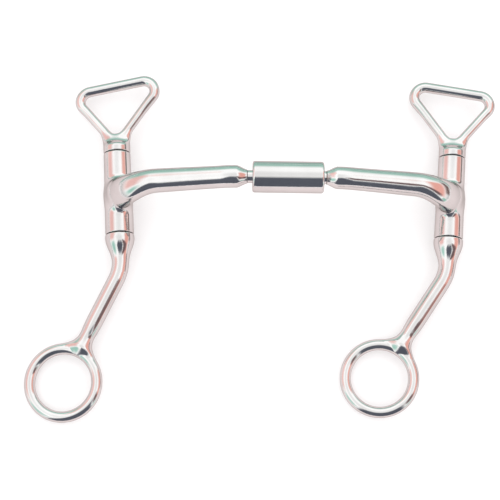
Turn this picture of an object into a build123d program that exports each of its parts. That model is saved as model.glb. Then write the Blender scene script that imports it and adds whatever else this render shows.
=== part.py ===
from build123d import *
import math
import os

# A swivel-cheek shank bit lying on a table, in millimetres.
# X runs along the mouthpiece, +Y from the rein rings towards the headstall loops, +Z up from the table.
# The origin is at the middle of the central barrel, on its axis.

# Mouthpiece
MOUTH_WIDTH = 127.0          # between the inner faces of the two sleeves
ARCH_HEIGHT = 24.4           # from the sleeves' axes up to the barrel's axis
ARM_RADIUS = 4.75
ARM_RISE = 14.0              # degrees: how steeply the straight run climbs towards the barrel
ELBOW_RADIUS = 18.0
ROOT_LEAN = 9.0              # degrees: how far the arm's root leans inwards from straight up
ROOT_FILLET = 3.2            # where the arm grows out of the sleeve
ROOT_REACH = 12.0            # from where their axes cross, past the edge that this fillet rounds
TIP_LENGTH = 4.2             # cone at the arm's inner end
TIP_RADIUS = 2.9
KNEE_RUN = 3.0               # from the cone's base to where the arm starts to fall away

# Barrel, its end bushes and the headed pins that they hold
BARREL_LENGTH = 28.4
BARREL_RADIUS = 6.3
BARREL_EDGE = 1.0
BARREL_WALL = 1.5
BUSH_LENGTH = 4.0
BUSH_RECESS = 0.25           # the bush sits this far inside the barrel's rim
NECK_RADIUS = 2.6
NECK_SHOWING = 1.4           # between the arm's tip and the barrel's rim
RUNNING_FIT = 0.05           # radial clearance of a turning fit
HEAD_RADIUS = 4.2
HEAD_LENGTH = 3.0
HEAD_PLAY = 0.9              # along the axis, between the head and its bush
PLAY_TAKEN = 0.5             # the barrel has slid this far towards the right arm
SPIGOT_RADIUS = 1.8          # the pin's inner end, fixed in a blind hole in the arm
SPIGOT_LENGTH = 6.0

# Sleeve at each end of the mouthpiece, and the cheek that turns in it
SLEEVE_ABOVE = 16.5          # from the arm's centre line up to the loop's seam
SLEEVE_BELOW = 18.3          # and down to the shank's seam
SLEEVE_TOP_RADIUS = 5.6
SLEEVE_BOTTOM_RADIUS = 5.9
SLEEVE_LEAN = 4.0            # degrees: the loops stand further apart than the shanks
SLEEVE_EDGE = 0.35
CUT_PAST = 5.0               # the sleeve's bore is cut this far past both ends
SEAM_GAP = 0.3               # open seam between the sleeve and each half of the cheek
CHEEK_PIN_RADIUS = 3.0
CHEEK_PIN_END = 4.5          # how deep the pin sits in the loop and in the shank

# Headstall loop
SHOULDER_LENGTH = 7.4
LOOP_WIRE_RADIUS = 2.1
LOOP_HOLE_START = 6.9        # from the seam to the sharp corner that the hole's sides aim at
LOOP_HOLE_HEIGHT = 20.9
LOOP_HOLE_WIDTH = 32.6
LOOP_HOLE_CORNER = 2.5
LOOP_TOP_SLOPE = 7.0         # degrees: the top bar climbs towards the side that the mouthpiece is on

# Shank and rein ring
HEAD_BULGE_RADIUS = 6.05
HEAD_BULGE_AT = 2.6          # below the seam
HEAD_SWELL = 0.1             # how fast the head widens just below the seam
HEAD_TAPER_LENGTH = 10.2
LEG_RADIUS = 3.45
LEG_BEND_RADIUS = 18.0
RING_DROP = 59.8             # from the seam down to the ring's centre, along the sleeve
RING_SWEEP = 25.1            # and across
LEG_ANGLE = 29.4             # degrees between the leg and the sleeve
RING_HOLE_RADIUS = 11.5
RING_WIRE_RADIUS = 2.25
RING_WEB_WIDTH = 12.5        # width of the web where the leg meets the ring
RING_WEB_LENGTH = 9.0
RING_WEB_HALF = 1.8          # half thickness of the web

SLEEVE_X = MOUTH_WIDTH / 2 + (SLEEVE_TOP_RADIUS + SLEEVE_BOTTOM_RADIUS) / 2
BARREL_END = BARREL_LENGTH / 2
ARM_TIP_X = BARREL_END + NECK_SHOWING
KNEE_X = ARM_TIP_X + TIP_LENGTH + KNEE_RUN
RING_RADIUS = RING_HOLE_RADIUS + RING_WIRE_RADIUS
# Both cheeks lie turned about their sleeves until the rein ring touches the table beside the shank's bulge.
CHEEK_SWIVEL = -math.degrees(
    math.asin((HEAD_BULGE_RADIUS - RING_WIRE_RADIUS) / (RING_SWEEP + RING_RADIUS))
)


def turned_about_y(points):
    """A solid turned about the Y axis, from its half outline of (radius, y) points."""
    outline = Polyline([(radius, height, 0) for radius, height in points], close=True)
    return revolve(make_face(outline), axis=Axis.Y)


def turned_about_x(points):
    """A solid turned about the X axis, from its half outline of (x, radius) points."""
    outline = Polyline([(along, radius, 0) for along, radius in points], close=True)
    return revolve(make_face(outline), axis=Axis.X)


def rod_outline(start, end, radius):
    """Half outline of a plain rod from start to end along the axis that it is turned about."""
    return [(start, 0), (start, radius), (end, radius), (end, 0)]


def along_y(radius, low, high):
    """A plain rod about the Y axis."""
    return turned_about_y([(0, low), (radius, low), (radius, high), (0, high)])


def tube_along(path, radius):
    """A round bar of this radius along a path."""
    section = Plane(origin=path @ 0, z_dir=path % 0) * Circle(radius)
    return sweep(section, path=path)


def arm_path():
    """The right arm's centre line in the XZ plane: up from the sleeve, over the elbow and into the cone."""
    rise = math.tan(math.radians(ARM_RISE))
    lean = math.tan(math.radians(ROOT_LEAN))
    # The corner of the two straight runs, as a height above the sleeve's axis.
    corner_z = (ARCH_HEIGHT - (SLEEVE_X - KNEE_X) * rise) / (1 - lean * rise)
    start = Vector(SLEEVE_X, 0, -ARCH_HEIGHT)
    corner = Vector(SLEEVE_X - corner_z * lean, 0, corner_z - ARCH_HEIGHT)
    knee = Vector(KNEE_X, 0, 0)
    cone_base = Vector(ARM_TIP_X + TIP_LENGTH, 0, 0)
    return FilletPolyline(start, corner, knee, cone_base, radius=ELBOW_RADIUS)


def arm_bar():
    """The arm's round bar with its coned tip, before it joins the sleeve."""
    cone_base = ARM_TIP_X + TIP_LENGTH
    cone = turned_about_x(
        [(ARM_TIP_X, 0), (ARM_TIP_X, TIP_RADIUS), (cone_base, ARM_RADIUS), (cone_base, 0)]
    )
    return tube_along(arm_path(), ARM_RADIUS) + cone


def sleeve_blank():
    """The sleeve's outside, slightly thicker towards the shank."""
    top = SLEEVE_ABOVE
    bottom = -SLEEVE_BELOW
    return turned_about_y(
        [
            (0, bottom),
            (SLEEVE_BOTTOM_RADIUS - SLEEVE_EDGE, bottom),
            (SLEEVE_BOTTOM_RADIUS, bottom + SLEEVE_EDGE),
            (SLEEVE_TOP_RADIUS, top - SLEEVE_EDGE),
            (SLEEVE_TOP_RADIUS - SLEEVE_EDGE, top),
            (0, top),
        ]
    )


def at_sleeve(side, swivel=0.0):
    """Where a sleeve's frame stands, turned about its axis: side is 1 on the right and -1 on the left."""
    return Pos(side * SLEEVE_X, 0, -ARCH_HEIGHT) * Rot(0, 0, -side * SLEEVE_LEAN) * Rot(0, swivel, 0)


def mouth_arm():
    """The right arm and sleeve as one casting, bored for the cheek pin and for the swivel pin."""
    sleeve = at_sleeve(1) * sleeve_blank()
    arm = arm_bar()
    joined = sleeve + arm
    root_edges = [
        edge
        for edge in joined.edges().filter_by(GeomType.BSPLINE)
        if (edge.center() - Vector(SLEEVE_X, 0, -ARCH_HEIGHT)).length < ROOT_REACH
    ]
    joined = fillet(root_edges, ROOT_FILLET)
    low = -SLEEVE_BELOW - CUT_PAST
    high = SLEEVE_ABOVE + CUT_PAST
    bore = at_sleeve(1) * along_y(CHEEK_PIN_RADIUS + RUNNING_FIT, low, high)
    hole = turned_about_x(rod_outline(ARM_TIP_X, ARM_TIP_X + SPIGOT_LENGTH, SPIGOT_RADIUS))
    return joined - bore - hole


def swivel_pin():
    """The right arm's headed pin: spigot in the arm, neck through the bush, head inside the barrel."""
    head_outer = BARREL_END - BUSH_RECESS - BUSH_LENGTH - HEAD_PLAY
    head_inner = head_outer - HEAD_LENGTH
    return turned_about_x(
        [
            (head_inner, 0),
            (head_inner, HEAD_RADIUS),
            (head_outer, HEAD_RADIUS),
            (head_outer, NECK_RADIUS),
            (ARM_TIP_X, NECK_RADIUS),
            (ARM_TIP_X, SPIGOT_RADIUS),
            (ARM_TIP_X + SPIGOT_LENGTH, SPIGOT_RADIUS),
            (ARM_TIP_X + SPIGOT_LENGTH, 0),
        ]
    )


def barrel_shell():
    """The open tube in the middle of the mouthpiece, with rounded rims."""
    outside = Rot(0, 90, 0) * Cylinder(BARREL_RADIUS, BARREL_LENGTH)
    outside = fillet(outside.edges().filter_by(GeomType.CIRCLE), BARREL_EDGE)
    return outside - Rot(0, 90, 0) * Cylinder(BARREL_RADIUS - BARREL_WALL, BARREL_LENGTH)


def barrel_bush():
    """The ring that closes the barrel's right end round the neck."""
    outer_face = BARREL_END - BUSH_RECESS
    inner_face = outer_face - BUSH_LENGTH
    ring = turned_about_x(rod_outline(inner_face, outer_face, BARREL_RADIUS - BARREL_WALL))
    return ring - turned_about_x(rod_outline(inner_face, outer_face, NECK_RADIUS + RUNNING_FIT))


# The cheek's pieces are made in the sleeve's own frame: Y along the sleeve, the shank sweeping to -X.


def cheek_pin():
    """The plain pin through the sleeve, fixed in the loop and in the shank."""
    reach = SEAM_GAP + CHEEK_PIN_END
    return along_y(CHEEK_PIN_RADIUS, -SLEEVE_BELOW - reach, SLEEVE_ABOVE + reach)


def loop_corners(inner):
    """The sharp corners of the loop wire's centre line, apex first. inner, 1 or -1, is the high side."""
    half_angle = math.atan2(LOOP_HOLE_WIDTH / 2, LOOP_HOLE_HEIGHT)
    spread = math.tan(half_angle)
    slope = inner * math.tan(math.radians(LOOP_TOP_SLOPE))
    apex = SLEEVE_ABOVE + LOOP_HOLE_START - LOOP_WIRE_RADIUS / math.sin(half_angle)
    top = SLEEVE_ABOVE + LOOP_HOLE_START + LOOP_HOLE_HEIGHT + LOOP_WIRE_RADIUS
    right = (top - apex) * spread / (1 - slope * spread)
    left = -(top - apex) * spread / (1 + slope * spread)
    return (0, apex), (right, top + slope * right), (left, top + slope * left)


def headstall_loop(inner):
    """The triangular wire loop on its round shoulder, with the blind hole for the cheek pin."""
    seam = SLEEVE_ABOVE + SEAM_GAP
    top = seam + SHOULDER_LENGTH
    shoulder = turned_about_y(
        [
            (0, seam),
            (SLEEVE_TOP_RADIUS - SLEEVE_EDGE, seam),
            (SLEEVE_TOP_RADIUS, seam + SLEEVE_EDGE),
            (SLEEVE_TOP_RADIUS, top - LOOP_WIRE_RADIUS),
            (LOOP_WIRE_RADIUS, top),
            (0, top),
        ]
    )
    apex, right, left = loop_corners(inner)
    wire_path = FilletPolyline(apex, right, left, radius=LOOP_HOLE_CORNER + LOOP_WIRE_RADIUS, close=True)
    wire = tube_along(wire_path, LOOP_WIRE_RADIUS)
    hole = along_y(CHEEK_PIN_RADIUS, seam, seam + CHEEK_PIN_END)
    return shoulder + wire - hole


def ring_centre():
    """The rein ring's centre in the cheek's plane."""
    return Vector(-RING_SWEEP, -SLEEVE_BELOW - RING_DROP, 0)


def leg_direction():
    """From the ring's centre up along the leg."""
    angle = math.radians(LEG_ANGLE)
    return Vector(math.sin(angle), math.cos(angle), 0)


def shank_head():
    """The shank's bulged head, tapering to the leg."""
    seam = -SLEEVE_BELOW - SEAM_GAP
    bulge = (HEAD_BULGE_RADIUS, seam - HEAD_BULGE_AT)
    neck = (LEG_RADIUS, seam - HEAD_TAPER_LENGTH)
    outline = Polyline((0, neck[1]), (0, seam), (SLEEVE_BOTTOM_RADIUS - SLEEVE_EDGE, seam))
    rim = (SLEEVE_BOTTOM_RADIUS, seam - SLEEVE_EDGE)
    outline += Line((SLEEVE_BOTTOM_RADIUS - SLEEVE_EDGE, seam), rim)
    outline += Spline(rim, bulge, neck, tangents=[(HEAD_SWELL, -1), (0, -1)])
    outline += Line(neck, (0, neck[1]))
    return revolve(make_face(outline), axis=Axis.Y)


def shank_leg():
    """The leg: down out of the head, round the bend and straight at the ring, where it thins to the wire."""
    centre = ring_centre()
    up = leg_direction()
    start = Vector(0, -SLEEVE_BELOW - SEAM_GAP - HEAD_TAPER_LENGTH, 0)
    corner = Vector(0, centre.Y + RING_SWEEP / math.tan(math.radians(LEG_ANGLE)), 0)
    thin_from = centre + up * (RING_RADIUS + RING_WEB_LENGTH)
    path = FilletPolyline(start, corner, thin_from, radius=LEG_BEND_RADIUS)
    thin_middle = centre + up * (RING_RADIUS + RING_WEB_LENGTH / 2)
    thin_end = Plane(origin=thin_middle, z_dir=-up) * Cone(LEG_RADIUS, RING_WIRE_RADIUS, RING_WEB_LENGTH)
    return tube_along(path, LEG_RADIUS) + thin_end


def ring_web():
    """The two thin webs that spread the leg's end over the ring."""
    centre = ring_centre()
    up = leg_direction()
    side = Vector(up.Y, -up.X, 0)
    foot = centre + up * (RING_RADIUS - RING_WIRE_RADIUS / 2)
    head = centre + up * (RING_RADIUS + RING_WEB_LENGTH)
    spread = side * (RING_WEB_WIDTH / 2)
    outline = Polyline(foot - spread, foot + spread, head, close=True)
    plate = extrude(make_face(outline), RING_WEB_HALF, both=True)
    return plate - Pos(*centre) * Cylinder(RING_HOLE_RADIUS + RING_WIRE_RADIUS / 2, 4 * RING_WIRE_RADIUS)


def half_ring():
    """Half of the rein ring, about the ring's centre."""
    wire_section = Plane.XZ * Pos(RING_RADIUS, 0) * Circle(RING_WIRE_RADIUS)
    return revolve(wire_section, axis=Axis.Z, revolution_arc=180)


def shank():
    """The lower cheek: head, leg and rein ring, with the blind hole for the cheek pin."""
    seam = -SLEEVE_BELOW - SEAM_GAP
    hole = along_y(CHEEK_PIN_RADIUS, seam - CHEEK_PIN_END, seam)
    body = shank_head() - hole + shank_leg() + ring_web()
    for turn in (0, 180):
        body += Pos(*ring_centre()) * Rot(0, 0, turn) * half_ring()
    return body


def save(name, shape):
    """Write one named piece, which is one solid."""
    export_step(shape.solids()[0], os.path.join("parts", name + ".step"))


os.makedirs("parts", exist_ok=True)
save("barrel_shell", barrel_shell())
for side, name in ((1, "right"), (-1, "left")):
    slid = Pos(-PLAY_TAKEN, 0, 0)
    arm_pieces = {"mouth_arm": mouth_arm(), "swivel_pin": swivel_pin()}
    for piece_name, piece in arm_pieces.items():
        save(f"{name}_{piece_name}", slid * (piece if side == 1 else mirror(piece, Plane.YZ)))
    bush = barrel_bush()
    save(f"{name}_barrel_bush", bush if side == 1 else mirror(bush, Plane.YZ))
    cheek_pieces = {"headstall_loop": headstall_loop(-side), "shank": shank(), "cheek_pin": cheek_pin()}
    for piece_name, piece in cheek_pieces.items():
        save(f"{name}_{piece_name}", slid * at_sleeve(side, CHEEK_SWIVEL) * piece)
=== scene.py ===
import math

import bpy
import numpy as np
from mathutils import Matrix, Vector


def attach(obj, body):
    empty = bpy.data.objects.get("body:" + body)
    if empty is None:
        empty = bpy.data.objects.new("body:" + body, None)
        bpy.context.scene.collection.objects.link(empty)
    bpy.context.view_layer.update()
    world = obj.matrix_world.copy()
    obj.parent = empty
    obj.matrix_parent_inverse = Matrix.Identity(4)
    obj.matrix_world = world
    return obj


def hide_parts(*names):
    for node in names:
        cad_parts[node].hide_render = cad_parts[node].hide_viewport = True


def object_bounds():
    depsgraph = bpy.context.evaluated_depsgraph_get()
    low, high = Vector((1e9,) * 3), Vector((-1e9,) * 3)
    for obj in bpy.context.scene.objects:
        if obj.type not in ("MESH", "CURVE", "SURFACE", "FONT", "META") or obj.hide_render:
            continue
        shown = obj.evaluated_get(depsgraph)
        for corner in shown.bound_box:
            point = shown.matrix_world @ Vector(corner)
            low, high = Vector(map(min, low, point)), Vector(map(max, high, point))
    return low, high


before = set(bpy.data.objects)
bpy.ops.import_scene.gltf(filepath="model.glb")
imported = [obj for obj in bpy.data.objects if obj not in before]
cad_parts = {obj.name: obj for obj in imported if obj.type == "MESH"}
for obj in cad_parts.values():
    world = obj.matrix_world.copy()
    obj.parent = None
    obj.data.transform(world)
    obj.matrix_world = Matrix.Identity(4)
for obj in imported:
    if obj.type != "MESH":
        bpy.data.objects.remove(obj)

import openvdb
from mathutils import Matrix, Vector

# A polished steel shank bit with swivel cheeks, lying on a pale table. The shapes below are worked out in
# millimetres, with the CAD model's own dimensions, and written to the meshes in metres.

CAD_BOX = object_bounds()
MM = 0.001

# Placing, as in the CAD model. Angles are in radians and lengths in millimetres, here and below.
MOUTH_WIDTH = 127.0
ARCH_HEIGHT = 24.4
PLAY_TAKEN = 0.5
SLEEVE_LEAN = math.radians(4.0)

# Mouthpiece
ARM_OUTER_RADIUS = 4.85
ARM_INNER_RADIUS = 4.5
ARM_RISE = math.radians(14.0)
ROOT_LEAN = math.radians(12.0)
ELBOW_RADIUS = 21.0
ROOT_START = 5.0
ROOT_BLEND = 2.4
ROOT_DROP = 1.2
ROOT_SPREAD = 0.4
ROOT_SWELL = 0.6
ROOT_RUN = 19.0
ROOT_ZONE = 20.0
TIP_LENGTH = 4.4
TIP_RADIUS = 2.75
TIP_STRAIGHT = 0.45
TIP_EDGE = 0.4
THINNEST_AT = 22.0
THICKEST_AT = 58.0

# Barrel
BARREL_LENGTH = 28.4
BARREL_RADIUS = 6.3
BARREL_BORE = 4.8
BARREL_EDGE = 1.0
BORE_EDGE = 0.3
NECK_SHOWING = 1.4
ARM_TIP_X = BARREL_LENGTH / 2 + NECK_SHOWING
KNEE_X = ARM_TIP_X + 7.2

# Sleeve, and the bore that the cheek pin turns in
SLEEVE_ABOVE = 16.5
SLEEVE_BELOW = 18.3
SLEEVE_TOP_RADIUS = 5.6
SLEEVE_BOTTOM_RADIUS = 5.9
SLEEVE_X = MOUTH_WIDTH / 2 + (SLEEVE_TOP_RADIUS + SLEEVE_BOTTOM_RADIUS) / 2
SEAM_GAP = 0.3
RIM_ROUND = 0.45
CHEEK_PIN_RADIUS = 3.0
SLEEVE_BORE = 3.05
PIN_DEPTH = 4.5

# Headstall loop
SHOULDER_LENGTH = 7.4
SHOULDER_EDGE = 2.4
SHOULDER_FLAT = (-5.5, 1.5)
LOOP_BAR_RADIUS = 2.15
LOOP_LEG_RADIUS = 1.9
LOOP_HOLE_START = 6.9
LOOP_HOLE_HEIGHT = 20.9
LOOP_HOLE_WIDTH = 32.6
LOOP_HOLE_CORNER = 2.5
LOOP_TOP_SLOPE = math.radians(7.0)
LOOP_THICKENS = (8.0, 18.0)
LOOP_BLEND = 3.0

# Shank and rein ring
HEAD_BULGE_RADIUS = 6.05
HEAD_BULGE_AT = 2.6
HEAD_END = 15.0
HEAD_BLEND = 1.7
LEG_START = 6.2
LEG_RADIUS = 3.45
LEG_ANGLE = math.radians(29.4)
LEG_BEND_RADIUS = 18.0
RING_DROP = 59.8
RING_SWEEP = 25.1
RING_RADIUS = 13.75
RING_WIRE_RADIUS = 2.25
RING_BLEND = 7.0
RING_HOLE_BLEND = 0.2
LEG_THICKENS = (-3.0, 16.0)

CHEEK_SWIVEL = -math.asin((HEAD_BULGE_RADIUS - RING_WIRE_RADIUS) / (RING_SWEEP + RING_RADIUS))

# Mesh fineness
GRID_STEP = 0.3
GRID_MARGIN = 1.2
BAND_STEPS = 3
DRAWING_PASSES = 4
SLOPE_STEP = 0.01
LATHE_SIDES = 160
CARD_STEPS = 40

# Steel: what it reflects at grazing angles
EDGE_TINT = (0.6, 0.6, 0.59)

# Table and light. The white tent's brightness is given at heights from 0 (straight down) to 1 (straight up).
TABLE_HALF = 40.0
TABLE_WHITE = (0.84, 0.83, 0.84)
TABLE_GLOW = 0.16
TENT_STRENGTH = 1.36
TENT_LEVELS = ((0.0, 0.30), (0.06, 0.62), (0.25, 1.0), (0.87, 1.0), (0.98, 0.80), (1.0, 0.79))

# Cards: name, colour, azimuths and elevations in degrees, how soft each pair of edges is, distance in metres
CARDS = (
    ("dark_card", (0.115, 0.125, 0.155), (-42, 48), (-2, 79), (8, 13), 1.5),
    ("russet_card", (0.20, 0.13, 0.13), (46, 74), (16, 72), (7, 12), 1.5),
    ("mint_card_left", (0.46, 0.79, 0.68), (-78, -40), (6, 50), (12, 16), 1.6),
    ("mint_card_right", (0.36, 0.68, 0.56), (44, 64), (-1, 16), (6, 5), 1.6),
    ("mint_card_behind", (0.42, 0.70, 0.60), (120, 240), (-1, 36), (20, 22), 1.6),
    ("salmon_card_left", (1.12, 0.70, 0.65), (-150, -74), (3, 54), (14, 16), 1.65),
    ("salmon_card_right", (1.04, 0.52, 0.44), (56, 128), (8, 54), (10, 12), 1.65),
    ("brown_card_right", (0.22, 0.15, 0.14), (80, 132), (-1, 14), (10, 5), 1.55),
)

# Mats: name, colour, ranges along X and Y and softness in metres, strength, height in millimetres
MATS = (
    ("rose_mat", (1.0, 0.86, 0.85), (-0.6, 0.6), (-0.6, 0.6), 0.3, 0.85, 0.2),
    ("mint_mat", (0.34, 0.56, 0.49), (-0.4, 0.4), (0.05, 0.8), 0.04, 0.9, 0.3),
)

# Camera, for a 500 x 500 picture
CAMERA_LENS = 86.4
CAMERA_TILT = math.radians(13.49)
CAMERA_TURN = math.radians(-0.49)
CAMERA_ROLL = math.radians(0.80)
CAMERA_OFFSET = Vector((-14.37, -23.26, 500.47)) * MM


# ---------------------------------------------------------------- distance fields, in millimetres


def smooth_step(value, low, high):
    """0 below low, 1 above high, and a smooth rise between them."""
    t = np.clip((value - low) / (high - low), 0, 1)
    return t * t * t * (t * (6 * t - 15) + 10)


def join(a, b, blend):
    """Two fields as one body, with a fillet of about this size where they meet."""
    h = np.clip(0.5 + 0.5 * (b - a) / blend, 0, 1)
    return b + (a - b) * h - blend * h * (1 - h)


def cut(a, b, rounding):
    """What lies in both fields, with the edge between them rounded."""
    return -join(-a, -b, rounding)


def bent_line_distance(u, v, corners, radius):
    """Distance in a plane to a line through corners whose inner corners are arcs of this radius."""
    points = [np.array(corner, float) for corner in corners]
    runs = []
    arcs = []
    start = points[0]
    for before, corner, after in zip(points, points[1:], points[2:]):
        into = (before - corner) / np.linalg.norm(before - corner)
        out = (after - corner) / np.linalg.norm(after - corner)
        half = math.acos(float(into @ out)) / 2
        bisector = (into + out) / np.linalg.norm(into + out)
        centre = corner + bisector * radius / math.sin(half)
        runs.append((start, corner + into * radius / math.tan(half)))
        arcs.append((centre, -bisector, math.pi / 2 - half))
        start = corner + out * radius / math.tan(half)
    runs.append((start, points[-1]))
    nearest = np.full(u.shape, 1e9, u.dtype)
    for a, b in runs:
        along = b - a
        t = np.clip(((u - a[0]) * along[0] + (v - a[1]) * along[1]) / float(along @ along), 0, 1)
        nearest = np.minimum(nearest, np.hypot(u - a[0] - t * along[0], v - a[1] - t * along[1]))
    for centre, middle, half_sweep in arcs:
        du, dv = u - centre[0], v - centre[1]
        reach = np.hypot(du, dv)
        inside = du * middle[0] + dv * middle[1] >= reach * math.cos(half_sweep)
        nearest = np.where(inside, np.minimum(nearest, np.abs(reach - radius)), nearest)
    return nearest


def triangle_distance(u, v, corners):
    """Signed distance in a plane to a triangle, negative inside. The corners run anticlockwise."""
    nearest = np.full(u.shape, 1e9, u.dtype)
    outside = np.full(u.shape, -1e9, u.dtype)
    for a, b in zip(corners, corners[1:] + corners[:1]):
        du, dv = b[0] - a[0], b[1] - a[1]
        t = np.clip(((u - a[0]) * du + (v - a[1]) * dv) / (du * du + dv * dv), 0, 1)
        nearest = np.minimum(nearest, np.hypot(u - a[0] - t * du, v - a[1] - t * dv))
        outside = np.maximum(outside, ((u - a[0]) * dv - (v - a[1]) * du) / math.hypot(du, dv))
    return np.where(outside > 0, nearest, -nearest)


def sleeve_radius(along):
    """The sleeve thickens a little from the loop's seam down to the shank's."""
    thickened = smooth_step(-along, -SLEEVE_ABOVE, SLEEVE_BELOW)
    return SLEEVE_TOP_RADIUS + (SLEEVE_BOTTOM_RADIUS - SLEEVE_TOP_RADIUS) * thickened


def arm_radius(x):
    """The arm thins towards the middle and ends in a soft cone."""
    thickened = smooth_step(x, THINNEST_AT, THICKEST_AT)
    body = ARM_INNER_RADIUS + (ARM_OUTER_RADIUS - ARM_INNER_RADIUS) * thickened
    t = np.clip((x - ARM_TIP_X) / TIP_LENGTH, 0, 1)
    opened = TIP_STRAIGHT * t + (1 - TIP_STRAIGHT) * t * t * (3 - 2 * t)
    return TIP_RADIUS + (body - TIP_RADIUS) * opened


def mouth_arm_field(x, y, z):
    """The right arm and its sleeve. The frame is the barrel's, with its origin in the barrel's middle."""
    rise, lean = math.tan(ARM_RISE), math.tan(ROOT_LEAN)
    corner_z = (ARCH_HEIGHT - (SLEEVE_X - KNEE_X) * rise) / (1 - lean * rise)
    route = [
        (SLEEVE_X - ROOT_START * lean, ROOT_START - ARCH_HEIGHT),
        (SLEEVE_X - corner_z * lean, corner_z - ARCH_HEIGHT),
        (KNEE_X, 0),
        (ARM_TIP_X - 5, 0),
    ]
    # The root sits a little towards the rein rings and spreads further that way.
    near = smooth_step(x, SLEEVE_X - ROOT_RUN, SLEEVE_X - 1)
    across_arm = y + ROOT_DROP * near
    across_arm = np.where(across_arm < 0, across_arm / (1 + ROOT_SPREAD * near), across_arm)
    radius = arm_radius(x) + ROOT_SWELL * near
    arm = np.hypot(bent_line_distance(x, z, route, ELBOW_RADIUS), across_arm) - radius
    arm = cut(arm, ARM_TIP_X - x, TIP_EDGE)
    across, along = sleeve_coordinates(x, y)
    reach = np.hypot(across, z + ARCH_HEIGHT)
    sleeve = reach - sleeve_radius(along)
    both = join(arm, sleeve, ROOT_BLEND)
    middle = (SLEEVE_ABOVE - SLEEVE_BELOW) / 2
    ends = np.abs(along - middle) - (SLEEVE_ABOVE + SLEEVE_BELOW) / 2
    trimmed = cut(both, np.where(x > SLEEVE_X - ROOT_ZONE, ends, -ROOT_ZONE), RIM_ROUND)
    return np.maximum(trimmed, SLEEVE_BORE - reach)


def sleeve_coordinates(x, y):
    """Across and along the right sleeve's own axis."""
    c, s = math.cos(SLEEVE_LEAN), math.sin(SLEEVE_LEAN)
    return (x - SLEEVE_X) * c - y * s, (x - SLEEVE_X) * s + y * c


def loop_core():
    """The left loop's hole shrunk by its corner radius: the wire keeps one distance from this triangle."""
    half_angle = math.atan2(LOOP_HOLE_WIDTH / 2, LOOP_HOLE_HEIGHT)
    spread, slope = math.tan(half_angle), math.tan(LOOP_TOP_SLOPE)
    apex = SLEEVE_ABOVE + LOOP_HOLE_START + LOOP_HOLE_CORNER / math.sin(half_angle)
    high = SLEEVE_ABOVE + LOOP_HOLE_START + LOOP_HOLE_HEIGHT
    high -= LOOP_HOLE_CORNER / math.cos(LOOP_TOP_SLOPE)
    right = (high - apex) * spread / (1 - slope * spread)
    left = -(high - apex) * spread / (1 + slope * spread)
    return [(0, apex), (right, high + slope * right), (left, high + slope * left)]


def loop_field(x, y, z):
    """The left headstall loop on its shoulder. The frame is the sleeve's, Y along it."""
    seam = SLEEVE_ABOVE + SEAM_GAP
    top = seam + SHOULDER_LENGTH
    thickened = smooth_step(y - top, *LOOP_THICKENS)
    wire_radius = LOOP_LEG_RADIUS + (LOOP_BAR_RADIUS - LOOP_LEG_RADIUS) * thickened
    core = triangle_distance(x, y, loop_core())
    wire = np.hypot(core - LOOP_HOLE_CORNER - wire_radius, z) - wire_radius
    reach = np.hypot(x, z)
    # The shoulder flattens towards its top, down to about the wire's thickness.
    flat = 1 + (SLEEVE_TOP_RADIUS / LOOP_LEG_RADIUS - 1) * smooth_step(y - top, *SHOULDER_FLAT)
    shoulder = cut(np.hypot(x, z * flat) - SLEEVE_TOP_RADIUS, y - top, SHOULDER_EDGE)
    both = join(wire, shoulder, LOOP_BLEND)
    trimmed = cut(both, seam - y, RIM_ROUND)
    return np.maximum(trimmed, np.minimum(CHEEK_PIN_RADIUS - reach, seam + PIN_DEPTH - y))


def head_radius(below):
    """The shank head's radius at this distance below its seam: a slight bulge, then a long taper."""
    swollen = smooth_step(below, -HEAD_BULGE_AT, HEAD_BULGE_AT)
    bulge = SLEEVE_BOTTOM_RADIUS + (HEAD_BULGE_RADIUS - SLEEVE_BOTTOM_RADIUS) * swollen
    inner = LEG_RADIUS - HEAD_BLEND
    t = np.clip((below - HEAD_BULGE_AT / 2) / (HEAD_END - HEAD_BULGE_AT / 2), 0, 1)
    return inner + (bulge - inner) * (1 - t * t * (3 - 2 * t))


def shank_field(x, y, z):
    """The shank with its head, bent leg and rein ring, in the sleeve's frame."""
    seam = -SLEEVE_BELOW - SEAM_GAP
    reach = np.hypot(x, z)
    below = seam - y
    head = np.maximum(reach - head_radius(below), below - HEAD_END)
    ring_y = -SLEEVE_BELOW - RING_DROP
    up = (math.sin(LEG_ANGLE), math.cos(LEG_ANGLE))
    route = [
        (0, seam - LEG_START),
        (0, ring_y + RING_SWEEP / math.tan(LEG_ANGLE)),
        (-RING_SWEEP + up[0] * RING_RADIUS, ring_y + up[1] * RING_RADIUS),
    ]
    to_ring = np.hypot(x + RING_SWEEP, y - ring_y)
    thickened = smooth_step(to_ring - RING_RADIUS, *LEG_THICKENS)
    leg_radius = RING_WIRE_RADIUS + (LEG_RADIUS - RING_WIRE_RADIUS) * thickened
    leg = np.hypot(bent_line_distance(x, y, route, LEG_BEND_RADIUS), z) - leg_radius
    ring = np.hypot(to_ring - RING_RADIUS, z) - RING_WIRE_RADIUS
    # The webs spread outside the ring only, so that its hole stays round.
    outside = smooth_step(to_ring - RING_RADIUS, -RING_WIRE_RADIUS, 1.5 * RING_WIRE_RADIUS)
    web = RING_HOLE_BLEND + (RING_BLEND - RING_HOLE_BLEND) * outside
    whole = join(join(head, leg, HEAD_BLEND), ring, web)
    trimmed = cut(whole, -below, RIM_ROUND)
    return np.maximum(trimmed, np.minimum(CHEEK_PIN_RADIUS - reach, PIN_DEPTH - below))


# ---------------------------------------------------------------- meshes


def slopes(field, points):
    """The field's gradient at some points, by central differences."""
    columns = []
    for axis in range(3):
        ahead, behind = points.copy(), points.copy()
        ahead[:, axis] += SLOPE_STEP
        behind[:, axis] -= SLOPE_STEP
        columns.append((field(*ahead.T) - field(*behind.T)) / (2 * SLOPE_STEP))
    return np.stack(columns, 1)


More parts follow.
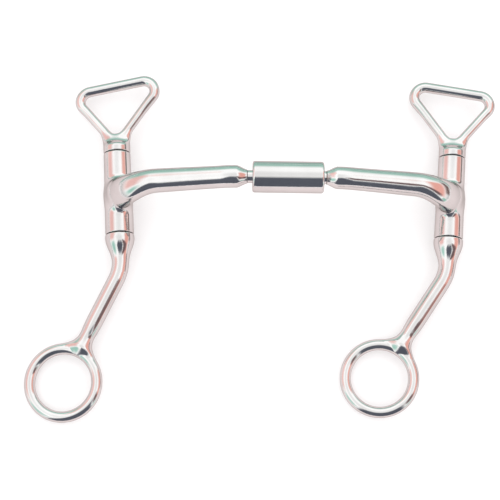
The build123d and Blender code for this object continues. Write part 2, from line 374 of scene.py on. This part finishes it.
def surface_of(field, low, high):
    """Points, quads and normals of a field's zero surface inside a box. Each point is drawn onto it."""
    axes = [np.arange(a, b, GRID_STEP) for a, b in zip(low, high)]
    x, y, z = (axis.astype(np.float32) for axis in axes)
    values = np.empty((len(x), len(y), len(z)), np.float32)
    for i, here in enumerate(x):
        v, w = np.meshgrid(y, z, indexing="ij")
        values[i] = field(np.full(v.shape, here, np.float32), v, w)
    grid = openvdb.FloatGrid(10.0)
    band = BAND_STEPS * GRID_STEP
    grid.copyFromArray(np.clip(values, -band, band))
    found, _, quads = grid.convertToPolygons(0.0)
    points = found.astype(float) * GRID_STEP + np.array(low, float)
    for _ in range(DRAWING_PASSES):
        slope = slopes(field, points)
        size = np.maximum((slope * slope).sum(1), 0.05)
        move = (field(*points.T) / size)[:, None] * slope
        points -= np.clip(move, -GRID_STEP / 2, GRID_STEP / 2)
    normals = slopes(field, points)
    normals /= np.maximum(np.linalg.norm(normals, axis=1), 1e-9)[:, None]
    return points, quads, normals


def mesh_object(name, surface, placing):
    """A smooth mesh object from a surface in millimetres, moved by a placing matrix in millimetres."""
    points, quads, normals = surface
    turn = np.array(placing.to_3x3())
    points = points @ turn.T + np.array(placing.translation)
    normals = normals @ turn.T
    corners = points[quads]
    facing = np.cross(corners[:, 2] - corners[:, 0], corners[:, 3] - corners[:, 1])
    if (facing * normals[quads[:, 0]]).sum() < 0:
        quads = quads[:, ::-1]
    mesh = bpy.data.meshes.new(name)
    mesh.from_pydata((points * MM).tolist(), [], quads.tolist())
    mesh.polygons.foreach_set("use_smooth", np.ones(len(quads), bool))
    mesh.normals_split_custom_set_from_vertices(normals.tolist())
    obj = bpy.data.objects.new(name, mesh)
    bpy.context.scene.collection.objects.link(obj)
    return obj


def arc_points(centre, radius, start, end, count):
    """Points on an arc, by angles in degrees."""
    angles = np.radians(np.linspace(start, end, count))
    return [(centre[0] + radius * math.cos(a), centre[1] + radius * math.sin(a)) for a in angles]


def turned(section):
    """Rows of (along X, outwards), repeated at every angle round X."""
    angles = np.linspace(0, 2 * math.pi, LATHE_SIDES, endpoint=False)
    x, out = section[:, 0], section[:, 1]
    return np.concatenate([np.c_[x, out * math.cos(a), out * math.sin(a)] for a in angles])


def lathe(outline):
    """A closed surface turned about X from a closed outline of (x, radius) points."""
    outline = np.array(outline)
    count = len(outline)
    i, j = np.meshgrid(np.arange(LATHE_SIDES), np.arange(count), indexing="ij")
    i2, j2 = (i + 1) % LATHE_SIDES, (j + 1) % count
    quads = np.stack([i * count + j, i * count + j2, i2 * count + j2, i2 * count + j], -1)
    quads = quads.reshape(-1, 4)
    along = np.roll(outline, -1, 0) - np.roll(outline, 1, 0)
    out = np.c_[-along[:, 1], along[:, 0]] / np.linalg.norm(along, axis=1)[:, None]
    if (out * (outline - outline.mean(0))).sum() < 0:
        out = -out
    return turned(outline), quads, turned(out)


def barrel_outline():
    """The barrel's wall in section, with rounded rims: along the outside, then back along the bore."""
    half, edge, lip = BARREL_LENGTH / 2, BARREL_EDGE, BORE_EDGE
    outline = arc_points((-half + edge, BARREL_RADIUS - edge), edge, 180, 90, 9)
    outline += arc_points((half - edge, BARREL_RADIUS - edge), edge, 90, 0, 9)
    outline += arc_points((half - lip, BARREL_BORE + lip), lip, 0, -90, 5)
    outline += arc_points((-half + lip, BARREL_BORE + lip), lip, -90, -180, 5)
    return outline


# ---------------------------------------------------------------- materials


def node(tree, kind, **values):
    """A shader node with its named inputs or properties set."""
    made = tree.nodes.new(kind)
    for key, value in values.items():
        if key in made.inputs:
            made.inputs[key].default_value = value
        else:
            setattr(made, key, value)
    return made


def tone_drift(tree, place, colours):
    """A faint drift between two tones over a centimetre or so."""
    drift = node(tree, "ShaderNodeTexNoise", Scale=90.0, Detail=3.0)
    tree.links.new(place, drift.inputs["Vector"])
    tone = node(tree, "ShaderNodeValToRGB")
    for element, position, colour in zip(tone.color_ramp.elements, (0.3, 0.7), colours):
        element.position = position
        element.color = (*colour, 1)
    tree.links.new(drift.outputs["Fac"], tone.inputs["Fac"])
    return tone.outputs["Color"]


def smudges(tree, place, rough):
    """Patches that are a little duller, as fingers and cloths leave them."""
    smudge = node(tree, "ShaderNodeTexNoise", Scale=260.0, Detail=5.0, Roughness=0.6)
    tree.links.new(place, smudge.inputs["Vector"])
    spread = node(tree, "ShaderNodeMapRange")
    for socket, value in zip(("From Min", "From Max", "To Min", "To Max"), (0.35, 0.75, *rough)):
        spread.inputs[socket].default_value = value
    tree.links.new(smudge.outputs["Fac"], spread.inputs["Value"])
    return spread.outputs["Result"]


def wiping_lines(tree, place, turn, stretch):
    """Fine lines in one direction."""
    lay = node(tree, "ShaderNodeMapping")
    lay.inputs["Rotation"].default_value = (0.2, 0.1, turn)
    lay.inputs["Scale"].default_value = stretch
    tree.links.new(place, lay.inputs["Vector"])
    lines = node(tree, "ShaderNodeTexNoise", Scale=240.0, Detail=4.0)
    tree.links.new(lay.outputs["Vector"], lines.inputs["Vector"])
    return lines.outputs["Fac"]


def steel(name, colours, rough, grain):
    """Steel with a faint drift of tone, smudges, and fine wiping scratches in two directions."""
    material = bpy.data.materials.new(name)
    material.use_nodes = True
    tree = material.node_tree
    shader = tree.nodes["Principled BSDF"]
    shader.inputs["Metallic"].default_value = 1.0
    shader.inputs["Specular Tint"].default_value = (*EDGE_TINT, 1)
    place = node(tree, "ShaderNodeTexCoord").outputs["Object"]
    tree.links.new(tone_drift(tree, place, colours), shader.inputs["Base Color"])
    tree.links.new(smudges(tree, place, rough), shader.inputs["Roughness"])
    both = node(tree, "ShaderNodeMath", operation="ADD")
    tree.links.new(wiping_lines(tree, place, 0.35, (1, 26, 26)), both.inputs[0])
    tree.links.new(wiping_lines(tree, place, 1.25, (30, 1.4, 30)), both.inputs[1])
    bump = node(tree, "ShaderNodeBump", Strength=grain, Distance=0.00002)
    tree.links.new(both.outputs["Value"], bump.inputs["Height"])
    tree.links.new(bump.outputs["Normal"], shader.inputs["Normal"])
    return material


POLISHED = steel("polished_steel", ((0.68, 0.67, 0.67), (0.745, 0.74, 0.74)), (0.06, 0.13), 0.35)
TURNED = steel("turned_steel", ((0.34, 0.33, 0.33), (0.46, 0.45, 0.45)), (0.22, 0.38), 0.6)


# ---------------------------------------------------------------- the pieces


def finish_piece(obj, material, body, *nodes):
    """Gives a piece its metal and its body, and hides the CAD nodes that it stands for."""
    obj.data.materials.append(material)
    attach(obj, body)
    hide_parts(*nodes)


def sleeve_place(side, swivel):
    """The sleeve's own frame in the row's, in millimetres. Side is 1 on the right and -1 on the left."""
    where = Matrix.Translation((side * SLEEVE_X - PLAY_TAKEN, 0, -ARCH_HEIGHT))
    return where @ Matrix.Rotation(-side * SLEEVE_LEAN, 4, "Z") @ Matrix.Rotation(swivel, 4, "Y")


def make_mouth_arms():
    margin = GRID_MARGIN
    bottom = -ARCH_HEIGHT - SLEEVE_BOTTOM_RADIUS - margin
    low = (ARM_TIP_X - margin, -SLEEVE_BELOW - margin, bottom)
    far = SLEEVE_X + SLEEVE_BOTTOM_RADIUS + 2 + margin
    high = (far, SLEEVE_ABOVE + margin, ARM_OUTER_RADIUS + margin)
    surface = surface_of(mouth_arm_field, low, high)
    slid = Matrix.Translation((-PLAY_TAKEN, 0, 0))
    for side, name in ((1, "right"), (-1, "left")):
        placing = slid @ Matrix.Diagonal((side, 1, 1, 1))
        piece = mesh_object(f"{name}_arm_polished", surface, placing)
        finish_piece(piece, POLISHED, f"{name}_arm", f"{name}_mouth_arm")


def make_cheeks():
    margin = GRID_MARGIN
    thick = SLEEVE_BOTTOM_RADIUS + margin
    corner_x, corner_y = loop_core()[1]
    wire = LOOP_HOLE_CORNER + 2 * LOOP_BAR_RADIUS + margin
    reach = corner_x + wire
    loop_low = (-reach, SLEEVE_ABOVE + SEAM_GAP - margin, -thick)
    loop = surface_of(loop_field, loop_low, (reach, corner_y + wire, thick))
    ring = RING_RADIUS + RING_WIRE_RADIUS + margin
    shank_low = (-RING_SWEEP - ring, -SLEEVE_BELOW - RING_DROP - ring, -thick)
    shank = surface_of(shank_field, shank_low, (thick, -SLEEVE_BELOW - SEAM_GAP + margin, thick))
    for side, name in ((1, "right"), (-1, "left")):
        placing = sleeve_place(side, CHEEK_SWIVEL)
        mirrored = placing @ Matrix.Diagonal((-side, 1, 1, 1))
        piece = mesh_object(f"{name}_loop_polished", loop, mirrored)
        finish_piece(piece, POLISHED, f"{name}_cheek", f"{name}_headstall_loop")
        piece = mesh_object(f"{name}_shank_polished", shank, placing)
        finish_piece(piece, POLISHED, f"{name}_cheek", f"{name}_shank")


def make_barrel():
    piece = mesh_object("barrel_polished", lathe(barrel_outline()), Matrix.Identity(4))
    finish_piece(piece, POLISHED, "barrel", "barrel_shell")


def dress_cad_nodes():
    """The inner pieces that stay as CAD nodes show only in the seams and at the barrel's ends."""
    for name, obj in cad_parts.items():
        if "pin" in name or "bush" in name:
            obj.data.materials.clear()
            obj.data.materials.append(POLISHED if "swivel" in name else TURNED)


make_mouth_arms()
make_cheeks()
make_barrel()
dress_cad_nodes()


# ---------------------------------------------------------------- table, light and camera


def table_material():
    """Matt white, with a faint glow that keeps the shadows pale."""
    material = bpy.data.materials.new("table_white")
    material.use_nodes = True
    shader = material.node_tree.nodes["Principled BSDF"]
    shader.inputs["Base Color"].default_value = (*TABLE_WHITE, 1)
    shader.inputs["Roughness"].default_value = 0.8
    shader.inputs["Emission Color"].default_value = (1.0, 1.0, 1.0, 1)
    shader.inputs["Emission Strength"].default_value = TABLE_GLOW
    return material


def glow_material(name, colour):
    """A glowing card that fades out towards its edges."""
    material = bpy.data.materials.new(name)
    material.use_nodes = True
    tree = material.node_tree
    tree.nodes.clear()
    glow = node(tree, "ShaderNodeEmission", Strength=1.0)
    glow.inputs["Color"].default_value = (*colour, 1)
    clear = node(tree, "ShaderNodeBsdfTransparent")
    fade = node(tree, "ShaderNodeAttribute", attribute_name="fade")
    mix = node(tree, "ShaderNodeMixShader")
    out = node(tree, "ShaderNodeOutputMaterial")
    tree.links.new(fade.outputs["Fac"], mix.inputs["Fac"])
    tree.links.new(clear.outputs["BSDF"], mix.inputs[1])
    tree.links.new(glow.outputs["Emission"], mix.inputs[2])
    tree.links.new(mix.outputs["Shader"], out.inputs["Surface"])
    return material


def glowing_sheet(name, colour, points, fades):
    """A stage sheet from a square grid of points. It is hidden from the camera and casts no shadow."""
    tall = CARD_STEPS
    quads = [
        (i * tall + j, (i + 1) * tall + j, (i + 1) * tall + j + 1, i * tall + j + 1)
        for i in range(tall - 1)
        for j in range(tall - 1)
    ]
    mesh = bpy.data.meshes.new(name)
    mesh.from_pydata(points, [], quads)
    mesh.attributes.new("fade", "FLOAT", "POINT").data.foreach_set("value", fades)
    mesh.materials.append(glow_material(name, colour))
    sheet = bpy.data.objects.new(name, mesh)
    bpy.context.scene.collection.objects.link(sheet)
    sheet.visible_camera = False
    sheet.visible_diffuse = False
    sheet.visible_shadow = False


def card(name, colour, azimuth, elevation, soft, distance):
    """A curved card round the bit that only its reflections show.

    Azimuth 0 is the rein rings' side and 90 the right. A card that starts below 0 has no soft lower edge."""
    centre = (CAD_BOX[0] + CAD_BOX[1]) / 2
    points, fades = [], []
    for a in np.linspace(*azimuth, CARD_STEPS):
        for e in np.linspace(*elevation, CARD_STEPS):
            turn, lift = math.radians(a), math.radians(e)
            x = centre.x + distance * math.sin(turn) * math.cos(lift)
            y = centre.y - distance * math.cos(turn) * math.cos(lift)
            points.append((x, y, CAD_BOX[0].z + distance * math.sin(lift)))
            side = min(a - azimuth[0], azimuth[1] - a) / soft[0]
            end = min(e - elevation[0] if elevation[0] > 0 else soft[1], elevation[1] - e) / soft[1]
            fades.append(min(side, 1) * min(end, 1))
    glowing_sheet(name, colour, points, fades)


def mat(name, colour, across, along, soft, strength, lift):
    """A flat card just above the table that only the bit's reflections show."""
    points, fades = [], []
    for x in np.linspace(*across, CARD_STEPS):
        for y in np.linspace(*along, CARD_STEPS):
            points.append((x, y, CAD_BOX[0].z + lift * MM))
            edge = min(x - across[0], across[1] - x, y - along[0], along[1] - y)
            fades.append(strength * min(edge / soft, 1))
    glowing_sheet(name, colour, points, fades)


def make_table():
    size, floor = TABLE_HALF, CAD_BOX[0].z
    mesh = bpy.data.meshes.new("table")
    corners = [(-size, -size, floor), (size, -size, floor), (size, size, floor), (-size, size, floor)]
    mesh.from_pydata(corners, [], [(0, 1, 2, 3)])
    mesh.materials.append(table_material())
    table = bpy.data.objects.new("table", mesh)
    bpy.context.scene.collection.objects.link(table)


def make_light():
    """A white tent, a little duller overhead and dark along the horizon, with coloured cards inside it."""
    world = bpy.data.worlds.new("studio")
    bpy.context.scene.world = world
    world.use_nodes = True
    tree = world.node_tree
    back = tree.nodes["Background"]
    place = node(tree, "ShaderNodeTexCoord")
    split = node(tree, "ShaderNodeSeparateXYZ")
    ramp = node(tree, "ShaderNodeValToRGB")
    tree.links.new(place.outputs["Generated"], split.inputs["Vector"])
    tree.links.new(split.outputs["Z"], ramp.inputs["Fac"])
    tree.links.new(ramp.outputs["Color"], back.inputs["Color"])
    for _ in TENT_LEVELS[2:]:
        ramp.color_ramp.elements.new(0.5)
    for element, (position, level) in zip(ramp.color_ramp.elements, TENT_LEVELS):
        element.position = position
        element.color = (level, level, level * 0.99, 1)
    back.inputs["Strength"].default_value = TENT_STRENGTH
    for values in CARDS:
        card(*values)
    for values in MATS:
        mat(*values)


def make_camera():
    data = bpy.data.cameras.new("camera")
    data.lens = CAMERA_LENS
    camera = bpy.data.objects.new("camera", data)
    bpy.context.scene.collection.objects.link(camera)
    bpy.context.scene.camera = camera
    turn = Matrix.Rotation(CAMERA_TILT, 4, "X") @ Matrix.Rotation(CAMERA_TURN, 4, "Y")
    turn = turn @ Matrix.Rotation(CAMERA_ROLL, 4, "Z")
    centre = Vector((-PLAY_TAKEN, 0, -ARCH_HEIGHT)) * MM
    camera.matrix_world = Matrix.Translation(centre + turn.to_3x3() @ CAMERA_OFFSET) @ turn
    data.clip_start = 0.01


make_table()
make_light()
make_camera()
bpy.context.scene.view_settings.view_transform = "Standard"
